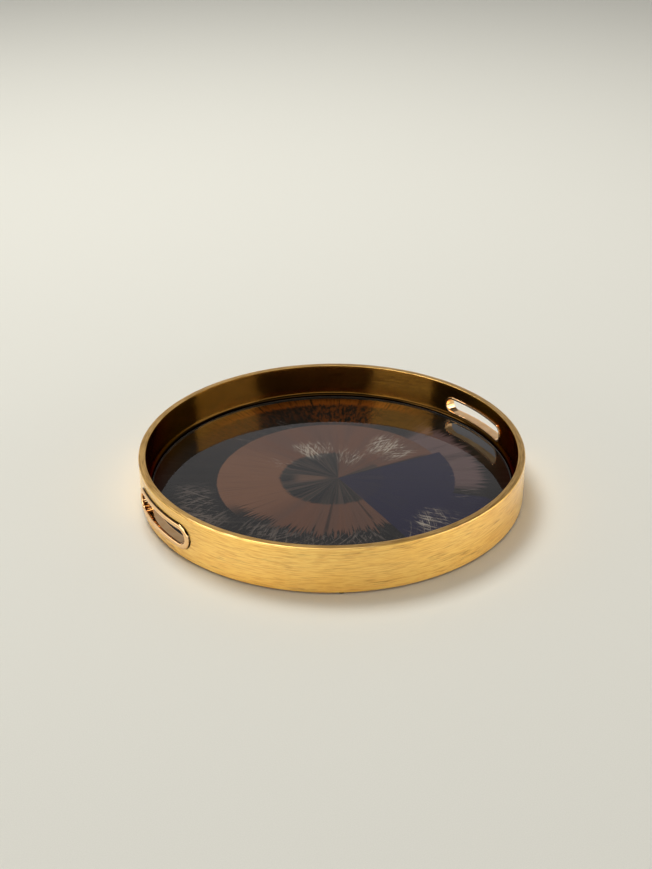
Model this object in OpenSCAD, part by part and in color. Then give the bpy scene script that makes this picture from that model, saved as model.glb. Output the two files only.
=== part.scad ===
// Round serving tray: a gilded bent-wood hoop around a glass-topped floor,
// with two hand slots lined in polished brass.
// Frame: Z up, origin at the centre of the plane that the feet rest on, X through the hand slots.

/* [Hoop] */
// Outside diameter of the hoop
hoop_d = 480; // [360:5:640]
// Height of the hoop, without the feet
hoop_h = 57.2; // [52:0.2:70]
// Thickness of the hoop's wall above the floor
wall_t = 9; // [8:0.5:11]
// Radius of the cove that leads from the wall down to the glass
cove_r = 4.7; // [4:0.1:6]
// Rounding of the hoop's top outer edge
edge_r = 2; // [1:0.1:3]
// Rounding of the hoop's other exposed edges
arris_r = 0.8; // [0.4:0.1:1.2]

/* [Floor] */
// Height of the glass's top face above the hoop's lower edge
floor_h = 12.6; // [12.2:0.1:15]
// Thickness of the glass
glass_t = 4; // [3:0.5:4.5]
// Width of the black sealing bead around the glass
seal_w = 1.2; // [0.8:0.1:1.6]
// Depth of the bead's top below the face of the glass
seal_drop = 0.5; // [0.2:0.1:1]
// Thickness of the decorated sheet under the glass
decor_t = 0.6; // [0.4:0.1:1]
// Thickness of the base board
board_t = 5; // [4:0.5:5]
// How far the base board reaches under the hoop's inner ledge
board_lap = 4; // [3:0.5:5]
// Thickness of the felt on the underside
felt_t = 1; // [0.6:0.1:1.2]
// How far the felt stops short of the base board's edge
felt_margin = 2; // [1:0.5:4]

/* [Hand slots] */
// Length of the clear opening, round ends included
slot_l = 112; // [90:1:120]
// Height of the clear opening
slot_h = 18.8; // [16:0.2:21]
// Height of the opening's middle above the hoop's lower edge
slot_z = 28.6; // [28:0.1:32]
// Wall thickness of the brass sleeve
sleeve_t = 1.3; // [1:0.1:1.6]
// Width of the raised lip, from the clear opening to its outer edge
lip_w = 6.8; // [5:0.2:7.2]
// How far the lip's crown stands out of the hoop
lip_proud = 3.4; // [2:0.2:4]
// Play between the sleeve and the slot in the wood
sleeve_play = 0.15; // [0.1:0.05:0.3]
// Width of the trim ring on the inside face, from the clear opening to its outer edge
ring_w = 3; // [2.2:0.2:4]
// Thickness of the trim ring
ring_t = 1.5; // [0.8:0.1:2]

/* [Feet] */
// Number of felt feet under the hoop
foot_count = 6; // [3:1:8]
// Diameter of one foot
foot_d = 8.4; // [7:0.2:9]
// Height of one foot
foot_h = 1.6; // [1.5:0.1:3]

/* [Hidden] */
$fn = 240;
hoop_r = hoop_d / 2;
wall_r = hoop_r - wall_t;             // inside face of the wall
ledge_r = wall_r - cove_r;            // inner edge of the ledge at the cove's foot
board_r = ledge_r + board_lap;        // base board and the rebate that takes it
glass_r = ledge_r - seal_w;
foot_ring_r = (board_r + hoop_r) / 2; // feet sit under the middle of the hoop's lower edge

// Levels, from the resting plane up
hoop_z = foot_h;
glass_top_z = hoop_z + floor_h;
glass_z = glass_top_z - glass_t;
decor_z = glass_z - decor_t;
felt_recess = 0.2;
board_z = hoop_z + felt_recess + felt_t;
card_z = board_z + board_t;
card_t = decor_z - card_z;            // backing card fills what is left under the decorated sheet
rebate_h = card_z - hoop_z;
slot_mid_z = hoop_z + slot_z;

crown_margin = lip_w / 4;             // the lip's crown is narrower than its foot
crown_step = lip_proud / 3;           // and its outermost third rises above the shoulders
reach = hoop_r + lip_proud;
cut = 1;                              // how far cutting shapes run past a face

// Disc or ring on the tray's axis, from height z up by h
module disc(r, z, h) {
    translate([0, 0, z]) cylinder(r = r, h = h);
}

module ring(r_in, r_out, z, h) {
    difference() {
        disc(r_out, z, h);
        disc(r_in, z - cut, h + 2 * cut);
    }
}

// What rounding takes off a square corner: side is 1 or -1 for a corner to the right or left of the
// round's centre, and up is 1 or -1 for one above or below it
module corner_waste(r, side, up) {
    size = r + cut;
    difference() {
        translate([side > 0 ? 0 : -size, up > 0 ? 0 : -size]) square(size);
        circle(r);
    }
}

// Stadium bar along X at the height of the hand slots, margin larger all round than the clear opening
module slot_bar(margin, x_from, x_to) {
    half = slot_h / 2 + margin;
    arm = (slot_l - slot_h) / 2;
    translate([x_from, -arm, slot_mid_z - half]) cube([x_to - x_from, 2 * arm, 2 * half]);
    for (y = [-arm, arm])
        translate([x_from, y, slot_mid_z]) rotate([0, 90, 0]) cylinder(r = half, h = x_to - x_from);
}

// Cross-section of the hoop, in the half-plane of radius and height above its lower edge
module hoop_profile() {
    difference() {
        translate([ledge_r, 0]) square([hoop_r - ledge_r, hoop_h]);
        // room above the floor, down to the top of the cove
        translate([ledge_r - cut, floor_h + cove_r]) square([cove_r + cut, hoop_h]);
        translate([ledge_r, floor_h + cove_r]) circle(cove_r);
        // rebate for the base board
        translate([ledge_r - cut, -cut]) square([board_lap + cut, rebate_h + cut]);
        translate([hoop_r - edge_r, hoop_h - edge_r]) corner_waste(edge_r, 1, 1);
        translate([wall_r + arris_r, hoop_h - arris_r]) corner_waste(arris_r, -1, 1);
        translate([hoop_r - arris_r, arris_r]) corner_waste(arris_r, 1, -1);
    }
}

module rim_hoop() {
    color("darkgoldenrod") difference() {
        translate([0, 0, hoop_z]) rotate_extrude() hoop_profile();
        slot_bar(sleeve_t + sleeve_play, -reach - cut, reach + cut);
    }
}

module base_board() {
    color("tan") disc(board_r, board_z, board_t);
}

module underside_felt() {
    color("dimgray") disc(board_r - felt_margin, board_z - felt_t, felt_t);
}

module backing_card() {
    color("gray") disc(ledge_r, card_z, card_t);
}

module decor_sheet() {
    color("saddlebrown") disc(glass_r, decor_z, decor_t);
}

module glass_disc() {
    color("lightsteelblue", 0.5) disc(glass_r, glass_z, glass_t);
}

module glass_seal() {
    color("black") ring(glass_r, ledge_r, decor_z, decor_t + glass_t - seal_drop);
}

// Part of a stadium bar that lies between two radii of the hoop, so that it follows the curve of the wall
module curved_bar(margin, r_in, r_out) {
    intersection() {
        slot_bar(margin, wall_r / 2, reach + cut);
        ring(r_in, r_out, hoop_z, hoop_h);
    }
}

// Cuts the clear opening of a hand slot out of its children
module with_opening() {
    difference() {
        union() children();
        slot_bar(0, wall_r / 2 - cut, reach + 2 * cut);
    }
}

// Polished sleeve with a raised, stepped lip against the outside of the hoop
module handle_liner() {
    color("gold") with_opening() {
        curved_bar(sleeve_t, wall_r, reach);
        curved_bar(lip_w, hoop_r, reach - crown_step);
        curved_bar(lip_w - crown_margin, hoop_r, reach);
    }
}

// Polished ring on the inside face, which covers the sleeve's end and the joint around it
module handle_ring() {
    color("goldenrod") with_opening() curved_bar(ring_w, wall_r - ring_t, wall_r);
}

module handle_liner_right() {
    handle_liner();
}

module handle_liner_left() {
    rotate([0, 0, 180]) handle_liner();
}

module handle_ring_right() {
    handle_ring();
}

module handle_ring_left() {
    rotate([0, 0, 180]) handle_ring();
}

// Foot number i; feet are spread evenly, the first one under the right hand slot
module foot_pad(i) {
    color("black") rotate([0, 0, (i - 1) * 360 / foot_count])
        translate([foot_ring_r, 0, 0]) cylinder(d = foot_d, h = foot_h);
}

rim_hoop();
base_board();
underside_felt();
backing_card();
decor_sheet();
glass_disc();
glass_seal();
handle_liner_right();
handle_liner_left();
handle_ring_right();
handle_ring_left();
for (i = [1 : foot_count])
    foot_pad(i);
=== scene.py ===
"""Brass-leaf tray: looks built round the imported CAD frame. Metres, Z up, X through the hand slots."""
import math

import bmesh
import bpy
from mathutils import Matrix, Vector


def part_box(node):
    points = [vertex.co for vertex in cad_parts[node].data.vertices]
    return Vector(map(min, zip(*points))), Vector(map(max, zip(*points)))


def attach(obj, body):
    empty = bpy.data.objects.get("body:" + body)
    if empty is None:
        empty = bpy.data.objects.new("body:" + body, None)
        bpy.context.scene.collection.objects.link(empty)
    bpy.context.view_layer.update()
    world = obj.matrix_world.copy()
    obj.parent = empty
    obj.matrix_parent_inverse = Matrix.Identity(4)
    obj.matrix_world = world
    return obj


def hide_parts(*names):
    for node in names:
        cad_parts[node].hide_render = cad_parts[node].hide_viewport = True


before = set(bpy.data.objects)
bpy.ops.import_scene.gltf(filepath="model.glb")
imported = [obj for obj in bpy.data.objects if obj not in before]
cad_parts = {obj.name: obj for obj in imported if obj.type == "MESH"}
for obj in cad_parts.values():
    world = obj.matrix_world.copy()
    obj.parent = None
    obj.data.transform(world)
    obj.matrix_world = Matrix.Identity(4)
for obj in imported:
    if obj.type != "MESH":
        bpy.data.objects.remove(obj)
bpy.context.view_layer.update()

# ---------------------------------------------------------------- sizes, from the frame
MM = 0.001
TINY = 1e-7       # a radius below this lies on the axis
NEAR_ZERO = 1e-4  # the least length that a shader divides by
HOOP_LOW, HOOP_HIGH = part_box("rim_hoop")
BOARD_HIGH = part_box("base_board")[1]
GLASS_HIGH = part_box("glass_disc")[1]
SEAL_LOW, SEAL_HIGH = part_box("glass_seal")
LIP_LOW, LIP_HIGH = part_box("handle_liner_right")
RING_LOW, RING_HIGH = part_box("handle_ring_right")
R_HOOP = HOOP_HIGH.x   # outside of the hoop
R_LEDGE = SEAL_HIGH.x  # foot of the cove, where the seal begins
R_GLASS = GLASS_HIGH.x
R_LIP = LIP_HIGH.x     # crown of the liners' lips
Z_HOOP, Z_TOP = HOOP_LOW.z, HOOP_HIGH.z
Z_FLOOR = GLASS_HIGH.z

# sizes that no box gives, as in the design
R_WALL = R_HOOP - 9 * MM        # inside face of the wall
COVE = R_WALL - R_LEDGE
EDGE = 2 * MM                   # rounding of the hoop's top outer edge
ARRIS = 0.8 * MM                # rounding of its other exposed edges
SLOT_L, SLOT_H = 112 * MM, 18.8 * MM
SLOT_ARM = (SLOT_L - SLOT_H) / 2  # from the slot's middle to the centre of its round end
SLOT_Z = (LIP_LOW.z + LIP_HIGH.z) / 2
LIP_W = (LIP_HIGH.z - LIP_LOW.z - SLOT_H) / 2
SLEEVE = 1.3 * MM               # thickness of the liner's sleeve
PLAY = 0.15 * MM                # gap between the sleeve and the wood
RING_W = (RING_HIGH.z - RING_LOW.z - SLOT_H) / 2
RING_T = 1.5 * MM
GLASS_LIFT = 0.05 * MM          # keeps the glass off the painted sheet, or both would flicker
FEET = 6

# steps of the meshes
RING_STEPS = 720    # round the tray
SLOT_STEPS = 240    # round a hand slot
CUTTER_STEPS = 96   # round the slot's cutter
FOOT_STEPS = 48     # round a foot
BEAD_STEPS = 22     # across the lip's bead
DISC_RINGS = 6      # rings on a disc's face
BEAD_SQUARE = 0.62  # 1 is a round bead, less is a squarer one
UNDERCUT = 0.9 * MM  # gap under the bead's outer edge

TURN = -32.4        # the photograph's right lies this far round from the tray's X axis
HEART = 8 * MM      # how far right of the middle the painted strokes start


# ---------------------------------------------------------------- mesh helpers
def arc(cx, cz, radius, start, end, steps):
    """Points of an arc about (cx, cz), from start to end in degrees."""
    turns = [math.radians(start + (end - start) * i / steps) for i in range(steps + 1)]
    return [(cx + radius * math.cos(t), cz + radius * math.sin(t)) for t in turns]


def line(a, b, steps):
    """Points between a and b, ends left out."""
    return [(a[0] + (b[0] - a[0]) * i / steps, a[1] + (b[1] - a[1]) * i / steps)
            for i in range(1, steps)]


def make_piece(name, bm, node, sharp=40):
    """Turns a bmesh into a smooth-shaded piece that rides on the body and stands for a CAD node."""
    bmesh.ops.recalc_face_normals(bm, faces=bm.faces)
    mesh = bpy.data.meshes.new(name)
    bm.to_mesh(mesh)
    bm.free()
    mesh.shade_smooth()
    mesh.set_sharp_from_angle(angle=math.radians(sharp))
    piece = bpy.data.objects.new(name, mesh)
    bpy.context.scene.collection.objects.link(piece)
    if node:
        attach(piece, "root")
        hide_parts(node)
    return piece


def revolved(outline, steps=RING_STEPS):
    """Closed outline of (radius, height) turned round the Z axis; a point on it becomes one vertex."""
    bm = bmesh.new()
    rings = []
    turn = 2 * math.pi / steps
    for r, z in outline:
        if r < TINY:
            rings.append([bm.verts.new((0, 0, z))] * steps)
        else:
            rings.append([bm.verts.new((r * math.cos(i * turn), r * math.sin(i * turn), z))
                          for i in range(steps)])
    for a, b in zip(rings, rings[1:] + rings[:1]):
        for i in range(steps):
            corners = [a[i], a[(i + 1) % steps], b[(i + 1) % steps], b[i]]
            unique = list(dict.fromkeys(corners))
            if len(unique) > 2:
                bm.faces.new(unique)
    return bm


def disc_outline(radius, low, high, edge):
    """Half-outline of a disc with rounded edges, from the axis out and back."""
    bottom = [(radius * i / DISC_RINGS, low) for i in range(DISC_RINGS)]
    rim = arc(radius - edge, low + edge, edge, -90, 0, 4)
    rim += arc(radius - edge, high - edge, edge, 0, 90, 4)
    return bottom + rim + [(r, high) for r, _ in reversed(bottom)]


def stadium(margin, steps):
    """Points (y, z) of the slot's outline, from its middle, margin outside the clear opening."""
    straight = 2 * SLOT_ARM
    round_end = math.pi * (SLOT_H + LIP_W) / 2
    n_line = round(steps * straight / (2 * (straight + round_end)))
    n_arc = steps // 2 - n_line
    radius = SLOT_H / 2 + margin
    points = []
    for side in (1, -1):
        for i in range(n_arc):
            t = side * math.pi / 2 - math.pi * i / n_arc
            points.append((side * SLOT_ARM + radius * math.cos(t), radius * math.sin(t)))
        for i in range(n_line):
            points.append((side * SLOT_ARM * (1 - 2 * i / n_line), -side * radius))
    return points


# ---------------------------------------------------------------- pieces
def hoop():
    """Bent-wood hoop with its ledge and rebate, cut through by both hand slots."""
    z_cove = Z_FLOOR + COVE
    outline = [(BOARD_HIGH.x, Z_HOOP)]
    outline += arc(R_HOOP - ARRIS, Z_HOOP + ARRIS, ARRIS, -90, 0, 5)
    outline += line((R_HOOP, Z_HOOP + ARRIS), (R_HOOP, Z_TOP - EDGE), 18)
    outline += arc(R_HOOP - EDGE, Z_TOP - EDGE, EDGE, 0, 90, 8)
    outline += line((R_HOOP - EDGE, Z_TOP), (R_WALL + ARRIS, Z_TOP), 3)
    outline += arc(R_WALL + ARRIS, Z_TOP - ARRIS, ARRIS, 90, 180, 5)
    outline += line((R_WALL, Z_TOP - ARRIS), (R_WALL, z_cove), 14)
    outline += arc(R_LEDGE, z_cove, COVE, 0, -90, 10)
    outline += [(R_LEDGE, BOARD_HIGH.z), (BOARD_HIGH.x, BOARD_HIGH.z)]
    piece = make_piece("hoop", revolved(outline), "rim_hoop")

    cutter = bmesh.new()
    ring = stadium(SLEEVE + PLAY, CUTTER_STEPS)
    ends = [[cutter.verts.new((x, y, SLOT_Z + z)) for y, z in ring]
            for x in (-R_HOOP - EDGE, R_HOOP + EDGE)]
    for i in range(CUTTER_STEPS):
        j = (i + 1) % CUTTER_STEPS
        cutter.faces.new((ends[0][i], ends[0][j], ends[1][j], ends[1][i]))
    cutter.faces.new(ends[0])
    cutter.faces.new(ends[1])
    tool = make_piece("slot_cutter", cutter, None)
    cut = piece.modifiers.new("slots", "BOOLEAN")
    cut.operation = "DIFFERENCE"
    cut.solver = "EXACT"
    cut.object = tool
    graph = bpy.context.evaluated_depsgraph_get()
    mesh = bpy.data.meshes.new_from_object(piece.evaluated_get(graph))
    piece.modifiers.clear()
    piece.data = mesh
    mesh.name = "hoop"
    bpy.data.objects.remove(tool)
    return piece


def swept_round_slot(name, node, side, section):
    """Section of (margin from the clear opening, radius from the tray's axis), taken round a slot."""
    bm = bmesh.new()
    loops = []
    for margin, r in section:
        loops.append([bm.verts.new((side * math.sqrt(r * r - y * y), side * y, SLOT_Z + z))
                      for y, z in stadium(margin, SLOT_STEPS)])
    for a, b in zip(loops, loops[1:] + loops[:1]):
        for i in range(SLOT_STEPS):
            j = (i + 1) % SLOT_STEPS
            bm.faces.new((a[i], a[j], b[j], b[i]))
    return make_piece(name, bm, node, sharp=50)


def liner(name, node, side):
    """Polished sleeve through the hoop; its lip is a rounded bead, undercut where it meets the hoop."""
    half, crown = LIP_W / 2, R_LIP - R_HOOP
    section = [(0, R_WALL + (R_HOOP - R_WALL) * i / 6) for i in range(6)]
    for i in range(BEAD_STEPS + 1):
        t = math.pi * (1 - i / BEAD_STEPS)
        lift = UNDERCUT + (crown - UNDERCUT) * math.sin(t) ** BEAD_SQUARE if i else 0
        section.append((half + half * math.cos(t), R_HOOP + lift))
    section += [(LIP_W - UNDERCUT, R_HOOP + UNDERCUT / 3), (LIP_W - UNDERCUT, R_HOOP), (SLEEVE, R_HOOP)]
    section += [(SLEEVE, R_HOOP + (R_WALL - R_HOOP) * i / 4) for i in range(1, 5)]
    return swept_round_slot(name, node, side, section)


def trim_ring(name, node, side):
    """Flat ring on the inside face, with both of its exposed edges rounded."""
    front = R_WALL - RING_T
    nose = 0.55 * MM
    section = [(RING_W, R_WALL)]
    section += arc(RING_W - nose, front + nose, nose, 0, -90, 5)
    section += arc(nose, front + nose, nose, -90, -180, 5)
    section += [(0, R_WALL)]
    return swept_round_slot(name, node, side, section)


def flat_disc(name, node, edge, gap=0.0):
    """Disc of a node's size; gap lifts its underside clear of what it lies on."""
    low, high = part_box(node)
    return make_piece(name, revolved(disc_outline(high.x, low.z + gap, high.z, edge)), node)


def seal():
    """Black bead with a round top between glass and hoop."""
    low, high = SEAL_LOW.z, SEAL_HIGH.z
    half = (R_LEDGE - R_GLASS) / 2
    outline = [(R_GLASS, low), (R_LEDGE, low)] + arc(R_GLASS + half, high - half, half, 0, 180, 8)
    return make_piece("seal", revolved(outline), "glass_seal")


def foot(number):
    """Small felt disc under the hoop."""
    node = f"foot_pad_{number}"
    low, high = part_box(node)
    middle = (low + high) / 2
    radius = (high.x - low.x) / 2
    bm = revolved(disc_outline(radius, low.z, high.z, 0.35 * MM), FOOT_STEPS)
    bmesh.ops.translate(bm, verts=bm.verts, vec=(middle.x, middle.y, 0))
    return make_piece(f"foot_{number}", bm, node)


# ---------------------------------------------------------------- materials
class Nodes:
    """Short calls for building the node tree of a material or of the world.

    An input is a number, colour, node or socket. In add, i0, i1 and so on name inputs by number.
    """

    def __init__(self, owner, output="OutputMaterial"):
        owner.use_nodes = True
        self.owner = owner
        self.tree = owner.node_tree
        self.tree.nodes.clear()
        self.output = self.add(output)

    def add(self, kind, settings=None, **inputs):
        node = self.tree.nodes.new("ShaderNode" + kind)
        for key, value in (settings or {}).items():
            setattr(node, key, value)
        for key, value in inputs.items():
            numbered = key[0] == "i" and key[1:].isdigit()
            self.feed(node.inputs[int(key[1:]) if numbered else key.replace("_", " ")], value)
        return node

    def feed(self, socket, value):
        if isinstance(value, bpy.types.NodeSocket):
            self.tree.links.new(value, socket)
        elif isinstance(value, bpy.types.Node):
            self.tree.links.new(value.outputs[0], socket)
        else:
            socket.default_value = value

    def math(self, operation, a, b=0.0, c=0.0):
        return self.add("Math", {"operation": operation}, i0=a, i1=b, i2=c).outputs[0]

    def times(self, first, *others):
        for other in others:
            first = self.math("MULTIPLY", first, other)
        return first

    def inverse(self, mask):
        return self.math("SUBTRACT", 1.0, mask)

    def length(self, a, b):
        return self.math("SQRT", self.math("ADD", self.times(a, a), self.times(b, b)))

    def position(self):
        return self.add("NewGeometry").outputs["Position"]

    def backfacing(self):
        return self.add("NewGeometry").outputs["Backfacing"]

    def vector(self, x, y, z):
        return self.add("CombineXYZ", X=x, Y=y, Z=z).outputs[0]

    def ramp(self, value, low, high):
        """0 below low, 1 above high, smooth between."""
        node = self.add("MapRange", {"interpolation_type": "SMOOTHSTEP"}, Value=value)
        node.inputs["From Min"].default_value = low
        node.inputs["From Max"].default_value = high
        return node.outputs[0]

    def noise(self, vector, scale=1.0, detail=2.0, rough=0.5):
        node = self.add("TexNoise", Vector=vector, Scale=scale, Detail=detail, Roughness=rough)
        return node.outputs[0]

    def mix(self, factor, a, b):
        """Colour a where factor is 0, b where it is 1; the node's colours are its sockets 6, 7 and 2."""
        node = self.add("Mix", {"data_type": "RGBA"})
        self.feed(node.inputs[0], factor)
        self.feed(node.inputs[6], a)
        self.feed(node.inputs[7], b)
        return node.outputs[2]

    def surface(self, shader):
        self.feed(self.output.inputs["Surface"], shader)
        return self.owner


def material(name):
    return Nodes(bpy.data.materials.new(name))


def rgb(r, g, b):
    """Linear colour from sRGB numbers of 0 to 255."""
    def linear(v):
        v /= 255
        return v / 12.92 if v <= 0.04045 else ((v + 0.055) / 1.055) ** 2.4
    return (linear(r), linear(g), linear(b), 1.0)


def direction(n, x, y):
    """The two parts of the unit vector along (x, y), as sockets."""
    safe = n.math("MAXIMUM", n.length(x, y), NEAR_ZERO)
    return n.math("DIVIDE", x, safe), n.math("DIVIDE", y, safe)


def position_parts(n):
    """x, y, z and the radius from the tray's axis, as sockets."""
    split = n.add("SeparateXYZ", Vector=n.position()).outputs
    x, y, z = split[0], split[1], split[2]
    return x, y, z, n.length(x, y)


def from_slot(n, y, z):
    """Distance outside the hand slot's clear opening, seen along X."""
    beyond = n.math("MAXIMUM", n.math("SUBTRACT", n.math("ABSOLUTE", y), SLOT_ARM), 0.0)
    above = n.math("SUBTRACT", z, SLOT_Z)
    return n.math("SUBTRACT", n.length(beyond, above), SLOT_H / 2)


def brass_leaf():
    """Brass leaf over dark brown, rubbed round the hoop, under satin lacquer; the inside face, its foot
    and a ring round each lip carry painted shade.
    """
    n = material("brass_leaf")
    x, y, z, radius = position_parts(n)
    cx, cy = direction(n, x, y)
    across = n.math("ADD", z, radius)

    def brushed(along, over, seed, detail):
        """Noise drawn out round the hoop: along and over are features per metre round and across it."""
        k = along * R_HOOP
        spot = n.vector(n.times(cx, k), n.times(cy, k), n.math("MULTIPLY_ADD", across, over, seed))
        return n.noise(spot, detail=detail)

    hair = brushed(60, 1400, 3.1, 2.0)
    fine = brushed(50, 650, 9.4, 3.0)
    broad = brushed(24, 300, 17.7, 3.0)
    patches = brushed(20, 85, 41.0, 5.0)
    cloud = brushed(7, 16, 77.0, 2.0)
    inside = n.ramp(radius, R_WALL + 0.6 * MM, R_WALL + 0.1 * MM)
    top = n.ramp(z, Z_TOP - 0.9 * MM, Z_TOP - 0.2 * MM)

    streak = n.times(n.ramp(fine, 0.50, 0.74), n.ramp(patches, 0.36, 0.66))
    worn = n.math("MULTIPLY_ADD", broad, 0.42, n.times(patches, 0.58))
    wear = n.times(n.ramp(worn, 0.54, 0.68), n.ramp(hair, 0.36, 0.62))

    outer = n.mix(n.ramp(cloud, 0.35, 0.65), rgb(255, 216, 120), rgb(255, 208, 104))
    outer = n.mix(n.times(n.ramp(hair, 0.40, 0.66), 0.45), outer, rgb(232, 166, 74))
    outer = n.mix(n.times(n.ramp(fine, 0.46, 0.66), 0.35), outer, rgb(216, 148, 64))
    outer = n.mix(n.times(streak, 0.30), outer, rgb(176, 112, 46))
    outer = n.mix(n.times(wear, 0.60), outer, rgb(160, 98, 50))
    # painted shade: the leaf goes near black in a ring round each lip, where the lip meets the hoop
    painted_lip_shade = n.ramp(from_slot(n, y, z), LIP_W + 0.9 * MM, LIP_W + 0.2 * MM)
    near_slot = n.ramp(n.math("ABSOLUTE", x), 0, R_WALL / 2)
    outer = n.mix(n.times(painted_lip_shade, near_slot, 0.9), outer, rgb(34, 18, 8))

    rim = n.mix(n.ramp(broad, 0.38, 0.64), rgb(210, 168, 98), rgb(184, 142, 74))
    rim = n.mix(n.times(n.ramp(fine, 0.46, 0.68), 0.5), rim, rgb(118, 88, 44))
    rim = n.mix(n.times(n.ramp(hair, 0.5, 0.72), 0.4), rim, rgb(240, 202, 136))

    # painted shade: the inside face is the same leaf coloured darker than the outside; its streaks and
    # wear are the leaf's own
    inner = n.mix(n.ramp(cloud, 0.35, 0.65), rgb(142, 102, 42), rgb(130, 88, 32))
    inner = n.mix(n.times(n.ramp(hair, 0.45, 0.7), 0.30), inner, rgb(84, 56, 20))
    inner = n.mix(n.times(streak, 0.35), inner, rgb(64, 42, 16))
    inner = n.mix(n.times(wear, 0.6), inner, rgb(58, 34, 14))
    # painted shade: the inside face darkens towards its foot at the glass, to near black right at the
    # joint
    painted_cove_shade = n.ramp(z, Z_FLOOR + 5 * MM, Z_FLOOR + 1.5 * MM)
    inner = n.mix(n.times(painted_cove_shade, 0.9), inner, rgb(34, 23, 9))
    inner = n.mix(n.ramp(z, Z_FLOOR + 0.6 * MM, Z_FLOOR + 0.1 * MM), inner, rgb(12, 8, 4))

    colour = n.mix(inside, n.mix(top, outer, rim), inner)
    open_side = n.inverse(inside)
    facing_out = n.times(open_side, n.inverse(top))
    roughness = n.math("MULTIPLY_ADD", facing_out, 0.20, 0.12)
    roughness = n.math("MULTIPLY_ADD", open_side, 0.14, roughness)
    roughness = n.math("MULTIPLY_ADD", fine, 0.08, roughness)
    height = n.math("MULTIPLY_ADD", fine, 0.6, n.times(hair, 0.4))
    bump = n.add("Bump", Strength=0.16, Distance=0.05 * MM, Height=height).outputs[0]
    tangent = n.add("Tangent", {"direction_type": "RADIAL", "axis": "Z"}).outputs[0]
    grain = n.math("MULTIPLY_ADD", top, -0.6, 0.6)
    shader = n.add("BsdfPrincipled", Base_Color=colour, Metallic=1.0, Roughness=roughness,
                   Anisotropic=grain, Normal=bump, Tangent=tangent)
    shader.inputs["Anisotropic Rotation"].default_value = 0.25  # a quarter turn: glints stretch upright
    n.feed(shader.inputs["Specular Tint"], n.mix(inside, (1, 1, 1, 1), rgb(196, 144, 92)))
    n.feed(shader.inputs["Coat Weight"], facing_out)
    shader.inputs["Coat Roughness"].default_value = 0.2
    return n.surface(shader)


def polished_brass():
    """Smooth polished brass; the sleeve's strip is butted at one end of the slot's floor, and the bead's
    edge by the hoop has painted shade.
    """
    n = material("polished_brass")
    x, y, z, radius = position_parts(n)
    smear = n.noise(n.position(), scale=90.0)
    colour = n.mix(n.ramp(smear, 0.35, 0.7), rgb(254, 212, 158), rgb(249, 201, 142))
    seam_y = n.times(n.math("SIGN", x), SLOT_ARM)
    off = n.math("ABSOLUTE", n.math("SUBTRACT", y, seam_y))
    seam = n.times(n.ramp(off, 0.75 * MM, 0.55 * MM), n.ramp(z, SLOT_Z - 3 * MM, SLOT_Z - 4 * MM),
                   n.ramp(radius, R_HOOP + 0.8 * MM, R_HOOP + 0.4 * MM))
    # painted shade: the bead's outer edge next to the hoop is darkened to near black; the seam above is
    # a real dark joint
    painted_crevice_shade = n.times(n.ramp(from_slot(n, y, z), LIP_W - 1.2 * MM, LIP_W - 0.5 * MM),
                      n.ramp(radius, R_HOOP + 2.2 * MM, R_HOOP + 1.4 * MM))
    colour = n.mix(n.math("MAXIMUM", seam, painted_crevice_shade), colour, rgb(20, 12, 6))
    roughness = n.math("MULTIPLY_ADD", smear, 0.03, n.math("MULTIPLY_ADD", seam, 0.4, 0.015))
    shader = n.add("BsdfPrincipled", Base_Color=colour, Metallic=1.0, Roughness=roughness)
    return n.surface(shader)


def clear_glass():
    """Mirrors at its outer faces and passes light straight through to what it lies on."""
    n = material("clear_glass")
    fresnel = n.add("Fresnel", IOR=1.5).outputs[0]
    outside = n.inverse(n.backfacing())
    clear = n.add("BsdfTransparent", Color=(0.97, 0.985, 0.98, 1))
    gloss = n.add("BsdfAnisotropic", Color=(1, 1, 1, 1), Roughness=0.015)
    return n.surface(n.add("MixShader", i0=n.times(fresnel, outside), i1=clear, i2=gloss))


def plain(name, light, dark, scale, roughness, bump_mm, sheen=0.0):
    """Dull material with a fine grain."""
    n = material(name)
    grain = n.noise(n.position(), scale=scale, detail=4.0, rough=0.65)
    colour = n.mix(n.ramp(grain, 0.35, 0.65), dark, light)
    bump = n.add("Bump", Strength=0.6, Distance=bump_mm * MM, Height=grain).outputs[0]
    shader = n.add("BsdfPrincipled", Base_Color=colour, Roughness=roughness, Normal=bump)
    shader.inputs["Sheen Weight"].default_value = sheen
    return n.surface(shader)


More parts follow.
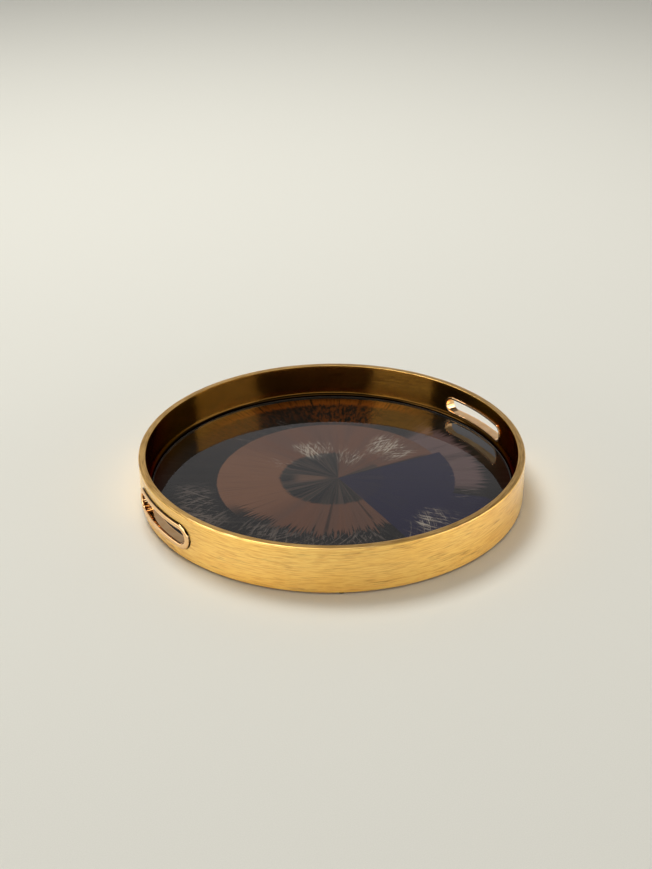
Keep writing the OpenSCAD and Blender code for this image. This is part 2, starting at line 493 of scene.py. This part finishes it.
class Brushwork:
    """Masks for the painted sheet.

    Radii are in units of the sheet's own; directions are in degrees from the photo's right.
    """

    def __init__(self, n):
        self.n = n
        x, y, z, radius = position_parts(n)
        a = math.radians(TURN)
        self.cx, self.cy = direction(n, n.math("SUBTRACT", x, HEART * math.cos(a)),
                                     n.math("SUBTRACT", y, HEART * math.sin(a)))
        self.radius = n.math("DIVIDE", radius, R_GLASS)
        self.hair = self.rays(60, 3.0, 5.0)
        self.wisp = self.rays(22, 2.0, 23.0)
        self.body = self.rays(7, 1.2, 47.0)
        self.dash = self.rays(46, 22.0, 71.0)
        self.hatch = n.math("MAXIMUM", self.rays(58, 2.5, 83.0, 1.3), self.rays(50, 2.5, 97.0, -0.5))

    def rays(self, around, outward, seed, twist=0.0):
        """Noise of outward streaks; twist turns them aside.

        around is features per radian, outward is features per radius.
        """
        n = self.n
        spoke = n.vector(n.times(self.cx, around), n.times(self.cy, around),
                         n.math("MULTIPLY_ADD", self.radius, outward, seed))
        if twist:
            spoke = n.add("VectorRotate", {"rotation_type": "Z_AXIS"}, Vector=spoke,
                          Angle=n.times(self.radius, twist)).outputs[0]
        return n.noise(spoke, detail=3.0, rough=0.6)

    def facing(self, turn):
        """Cosine of the angle to a direction."""
        a = math.radians(turn + TURN)
        n = self.n
        return n.math("ADD", n.times(self.cx, math.cos(a)), n.times(self.cy, math.sin(a)))

    def sector(self, turn, half, soft=1.5, ragged=0.0):
        """1 within half degrees of a direction, with a soft and ragged border."""
        n = self.n
        value = self.facing(turn)
        if ragged:
            value = n.math("MULTIPLY_ADD", n.math("SUBTRACT", self.wisp, 0.5), ragged, value)
        return n.ramp(value, math.cos(math.radians(half + soft)), math.cos(math.radians(half - soft)))

    def band(self, inner, outer, soft=0.01, ragged=0.0):
        """1 between two radii, with borders that bristle outwards along the rays."""
        n = self.n
        r = self.radius
        if ragged:
            r = n.math("MULTIPLY_ADD", n.math("SUBTRACT", self.hair, 0.5), ragged, r)
        return n.times(n.ramp(r, inner - soft, inner + soft), n.ramp(r, outer + soft, outer - soft))

    def patch(self, turn, half, inner, outer, fill):
        """Dry-brush patch of short thin strokes; fill is the share of it that is covered."""
        n = self.n
        strokes = n.math("MULTIPLY_ADD", self.dash, 0.35, n.times(self.hatch, 0.65))
        return n.times(self.sector(turn, half, half * 0.6, 0.02), self.band(inner, outer, 0.045, 0.25),
                       n.ramp(strokes, 0.62 - fill, 0.70 - fill))


EVERYWHERE = -1     # an inner radius that leaves out nothing
PAST_EDGE = 1.1     # an outer radius beyond the sheet's edge

# patches of short strokes: direction, half width in degrees, inner and outer radius, fill
SILVER_PATCHES = (
    (117, 8, 0.27, 0.42, 0.14), (101, 5, 0.29, 0.41, 0.08), (73, 13, 0.20, 0.33, 0.09),
    (55, 8, 0.38, 0.56, 0.12), (40, 6, 0.41, 0.56, 0.10), (152, 7, 0.27, 0.38, 0.06))
BRONZE_PATCHES = (
    (-42, 8, 0.63, 0.77, 0.12), (-12, 7, 0.71, 0.83, 0.05), (8, 12, 0.70, 0.84, 0.04),
    (-53, 8, 0.68, 0.82, 0.08), (-158, 13, 0.70, 0.86, 0.12), (-118, 16, 0.60, 0.72, 0.11),
    (-85, 14, 0.60, 0.70, 0.10), (128, 16, 0.62, 0.74, 0.05))
# thin dark lines in the copper disc: direction, half width in degrees, outer radius
DARK_LINES = ((-97, 0.8, 0.56), (-68, 0.6, 0.5), (152, 1.2, 0.3), (27, 0.8, 0.6), (-140, 0.7, 0.28))


def decor():
    """Abstract brushwork: every stroke runs outwards from near the middle; the amber band at the back
    edge is a painted reflection of the hoop's inside wall.
    """
    n = material("decor")
    art = Brushwork(n)
    ink, ring = rgb(22, 17, 46), rgb(12, 9, 7)
    silver, bronze = rgb(180, 166, 150), rgb(104, 90, 82)
    colour = n.mix(n.ramp(art.wisp, 0.4, 0.65), ring, rgb(20, 16, 13))

    plum = n.times(art.sector(20, 28, 6, 0.1), art.band(0.60, 0.84, 0.03, 0.2))
    colour = n.mix(n.times(plum, n.ramp(art.body, 0.15, 0.5)), colour, rgb(94, 72, 70))

    # painted reflection: amber at the back edge stands for the hoop's inside wall mirrored in the glass,
    # brightest next to the rim
    painted_wall_reflection = n.times(art.sector(88, 15, 6, 0.06), art.band(0.66, PAST_EDGE, 0.04, 0.1))
    painted_reflection_haze = n.times(art.sector(112, 34, 10, 0.1), art.band(0.74, PAST_EDGE, 0.05, 0.2), 0.35)
    painted_wall_reflection = n.math("MAXIMUM", painted_wall_reflection, painted_reflection_haze)
    colour = n.mix(n.times(painted_wall_reflection, n.ramp(art.dash, 0.60, 0.38)), colour, rgb(82, 40, 8))
    edge = n.times(art.sector(100, 34, 12, 0.08), art.band(0.915, PAST_EDGE, 0.02, 0.12))
    colour = n.mix(n.times(edge, n.ramp(art.hair, 0.68, 0.46)), colour, rgb(128, 64, 16))

    copper = n.mix(n.ramp(art.body, 0.35, 0.66), rgb(98, 62, 44), rgb(90, 60, 46))
    copper = n.mix(art.sector(184, 34, 18), copper, rgb(112, 74, 52))
    copper = n.mix(n.times(n.ramp(art.hair, 0.48, 0.72), 0.4), copper, rgb(66, 44, 34))
    clean = art.band(EVERYWHERE, 0.645, 0.004, 0.02)
    bristly = art.band(EVERYWHERE, 0.575, 0.006, 0.38)
    colour = n.mix(n.mix(art.sector(-95, 55, 10, 0.05), clean, bristly), colour, copper)

    wedge = n.times(art.sector(-17, 43.5, 0.5, 0.006), art.band(EVERYWHERE, 0.69, 0.004, 0.02))
    colour = n.mix(wedge, colour, n.mix(n.ramp(art.wisp, 0.4, 0.7), ink, rgb(28, 23, 44)))
    below = n.times(art.sector(-38, 22.5, 0.6, 0.02), art.band(0.5, 0.9, 0.02, 0.1))
    colour = n.mix(n.times(below, 0.9), colour, ink)

    core = n.mix(n.ramp(art.body, 0.38, 0.62), rgb(13, 13, 14), rgb(42, 36, 31))
    core = n.mix(n.times(n.ramp(art.wisp, 0.46, 0.62), 0.7), core, rgb(74, 57, 48))
    covered = n.times(n.inverse(n.times(art.sector(62, 26, 6, 0.05), 0.8)),
                      n.inverse(n.times(art.sector(-17, 43.5, 2), 0.85)))
    colour = n.mix(n.times(art.band(EVERYWHERE, 0.29, 0.006, 0.08), covered), colour, core)
    tongue = n.times(art.sector(179, 8, 7, 0.04), art.band(0.03, 0.2, 0.04), 0.6)
    colour = n.mix(tongue, colour, rgb(112, 80, 62))
    for turn, half, outer in DARK_LINES:
        mark = n.times(art.sector(turn, half, 0.7), art.band(0.05, outer, 0.03, 0.2), 0.7)
        colour = n.mix(mark, colour, ring)

    for spot in SILVER_PATCHES:
        colour = n.mix(n.times(art.patch(*spot), 0.8), colour, silver)
    for spot in BRONZE_PATCHES:
        colour = n.mix(n.times(art.patch(*spot), 0.75), colour, bronze)
    colour = n.mix(n.times(art.patch(-42, 7, 0.64, 0.76, 0.07), 0.8), colour, silver)

    roughness = n.math("MULTIPLY_ADD", art.hair, 0.25, 0.35)
    shader = n.add("BsdfPrincipled", Base_Color=colour, Roughness=roughness)
    shader.inputs["Specular IOR Level"].default_value = 0.05  # the glass above does the shining
    return n.surface(shader)


# ---------------------------------------------------------------- stage
# the camera, as fitted to the photograph; angles in degrees
ELEVATION = 30.22
ROLL, YAW, PITCH = -0.37, -0.26, 2.17
DISTANCE = 6.883 * R_HOOP
LENS = 53.85    # mm, on a sensor 36 mm wide
FLOOR_SIZE = 14

WARM = (1, 0.97, 0.93)
# softboxes: direction from the photograph's right and elevation in degrees, distance, width, height,
# radiance, tint, and whether they light dull surfaces
SOFTBOXES = {
    "front_left": (-141, 32, 2.0, 1.4, 0.9, 3.4, WARM, False),
    "front_right": (-12, 32, 2.0, 1.6, 0.9, 3.2, WARM, False),
    "top_back": (122, 61, 5.0, 2.5, 1.8, 11.4, (1, 1, 1), True),
}


def camera():
    """Camera at the photograph's viewing angle, a hair off the tray's middle."""
    data = bpy.data.cameras.new("camera")
    data.sensor_width = 36
    data.lens = LENS
    cam = bpy.data.objects.new("camera", data)
    bpy.context.scene.collection.objects.link(cam)
    e = math.radians(ELEVATION)
    forward = Vector((0, math.cos(e), -math.sin(e)))
    up = Vector((0, math.sin(e), math.cos(e)))
    basis = Matrix((Vector((1, 0, 0)), up, -forward)).transposed()
    aim = (Matrix.Rotation(math.radians(ROLL), 3, "Z") @ Matrix.Rotation(math.radians(-YAW), 3, "Y")
           @ Matrix.Rotation(math.radians(PITCH), 3, "X"))
    place = Matrix.Translation(-DISTANCE * forward + Vector((0, 0, Z_HOOP)))
    cam.matrix_world = Matrix.Rotation(math.radians(TURN), 4, "Z") @ place @ (basis @ aim).to_4x4()
    bpy.context.scene.camera = cam


def floor():
    """Pale paper with a painted pool of light, brightest round the tray, and clear from below so that
    the underside can be seen.
    """
    bpy.ops.mesh.primitive_plane_add(size=FLOOR_SIZE)
    sheet = bpy.context.object
    sheet.name = "floor"
    n = material("floor_paper")
    radius = position_parts(n)[3]
    grain = n.noise(n.position(), scale=900.0)
    colour = n.mix(n.ramp(grain, 0.3, 0.7), rgb(228, 226, 214), rgb(224, 222, 210))
    # painted shade: the paper darkens away from the tray
    colour = n.mix(n.times(n.ramp(radius, 0.9, 4.6), 0.6), colour, rgb(150, 149, 141))
    paper = n.add("BsdfPrincipled", Base_Color=colour, Roughness=0.9)
    one_sided = n.add("MixShader", i0=n.backfacing(), i1=paper, i2=n.add("BsdfTransparent"))
    sheet.data.materials.append(n.surface(one_sided))


def surroundings():
    """Room light by direction: a pale back wall and a dim front, both brightest low down, and a lid."""
    world = bpy.data.worlds.new("studio")
    bpy.context.scene.world = world
    n = Nodes(world, "OutputWorld")
    turned = n.add("VectorRotate", {"rotation_type": "Z_AXIS"}, Angle=-math.radians(TURN),
                   Vector=n.add("TexCoord").outputs["Generated"])
    split = n.add("SeparateXYZ", Vector=turned).outputs
    away, up = split[1], split[2]
    wall = n.mix(n.ramp(up, 0.66, 0.34), (0.13, 0.125, 0.125, 1), (0.66, 0.64, 0.645, 1))
    front = n.mix(n.ramp(up, 0.36, 0.20), (0.03, 0.03, 0.03, 1), (2.1, 2.04, 1.95, 1))
    room = n.mix(n.ramp(away, 0.0, 0.5), front, wall)
    room = n.mix(n.ramp(up, 0.86, 0.97), room, (1.2, 1.2, 1.2, 1))
    direct = n.add("LightPath").outputs["Is Camera Ray"]
    shown = n.mix(direct, room, (0.66, 0.66, 0.62, 1))
    n.surface(n.add("Background", Color=shown, Strength=1.0))


def softbox(name, turn, elevation, distance, width, height, radiance, tint, lights_dull):
    """Area light that faces the tray and that the camera doesn't see."""
    a, e = math.radians(turn + TURN), math.radians(elevation)
    place = Vector((math.cos(a) * math.cos(e), math.sin(a) * math.cos(e), math.sin(e))) * distance
    data = bpy.data.lights.new(name, "AREA")
    data.shape = "RECTANGLE"
    data.size, data.size_y = width, height
    data.energy = radiance * math.pi * width * height
    data.color = tint
    lamp = bpy.data.objects.new(name, data)
    bpy.context.scene.collection.objects.link(lamp)
    lamp.location = place
    lamp.rotation_euler = (-place).to_track_quat("-Z", "Y").to_euler()
    lamp.visible_camera = False
    lamp.visible_diffuse = lights_dull


def studio():
    """Floor, room and lights."""
    floor()
    surroundings()
    for name, settings in SOFTBOXES.items():
        softbox(name, *settings)
    bpy.context.scene.view_settings.view_transform = "Standard"


# ---------------------------------------------------------------- scene
def build():
    """Every piece, with its material."""
    brass = polished_brass()
    felt = plain("felt_black", rgb(34, 33, 34), rgb(14, 14, 15), 2600.0, 0.95, 0.25, sheen=0.3)
    black = plain("seal_black", rgb(9, 8, 7), rgb(4, 4, 4), 1500.0, 0.6, 0.05)
    board = plain("fibreboard", rgb(170, 138, 100), rgb(140, 108, 74), 1400.0, 0.85, 0.1)
    card = plain("grey_card", rgb(140, 138, 134), rgb(120, 118, 114), 1200.0, 0.9, 0.05)
    looks = [
        (hoop(), brass_leaf()),
        (liner("liner_right", "handle_liner_right", 1), brass),
        (liner("liner_left", "handle_liner_left", -1), brass),
        (trim_ring("trim_ring_right", "handle_ring_right", 1), brass),
        (trim_ring("trim_ring_left", "handle_ring_left", -1), brass),
        (flat_disc("glass", "glass_disc", 0.9 * MM, GLASS_LIFT), clear_glass()),
        (flat_disc("decor_sheet_painted", "decor_sheet", 0.1 * MM), decor()),
        (seal(), black),
        (flat_disc("board", "base_board", 0.3 * MM), board),
        (flat_disc("card", "backing_card", 0.2 * MM), card),
        (flat_disc("felt_under", "underside_felt", 0.3 * MM), felt),
    ]
    looks += [(foot(number), felt) for number in range(1, FEET + 1)]
    for piece, look in looks:
        piece.data.materials.append(look)


build()
studio()
camera()
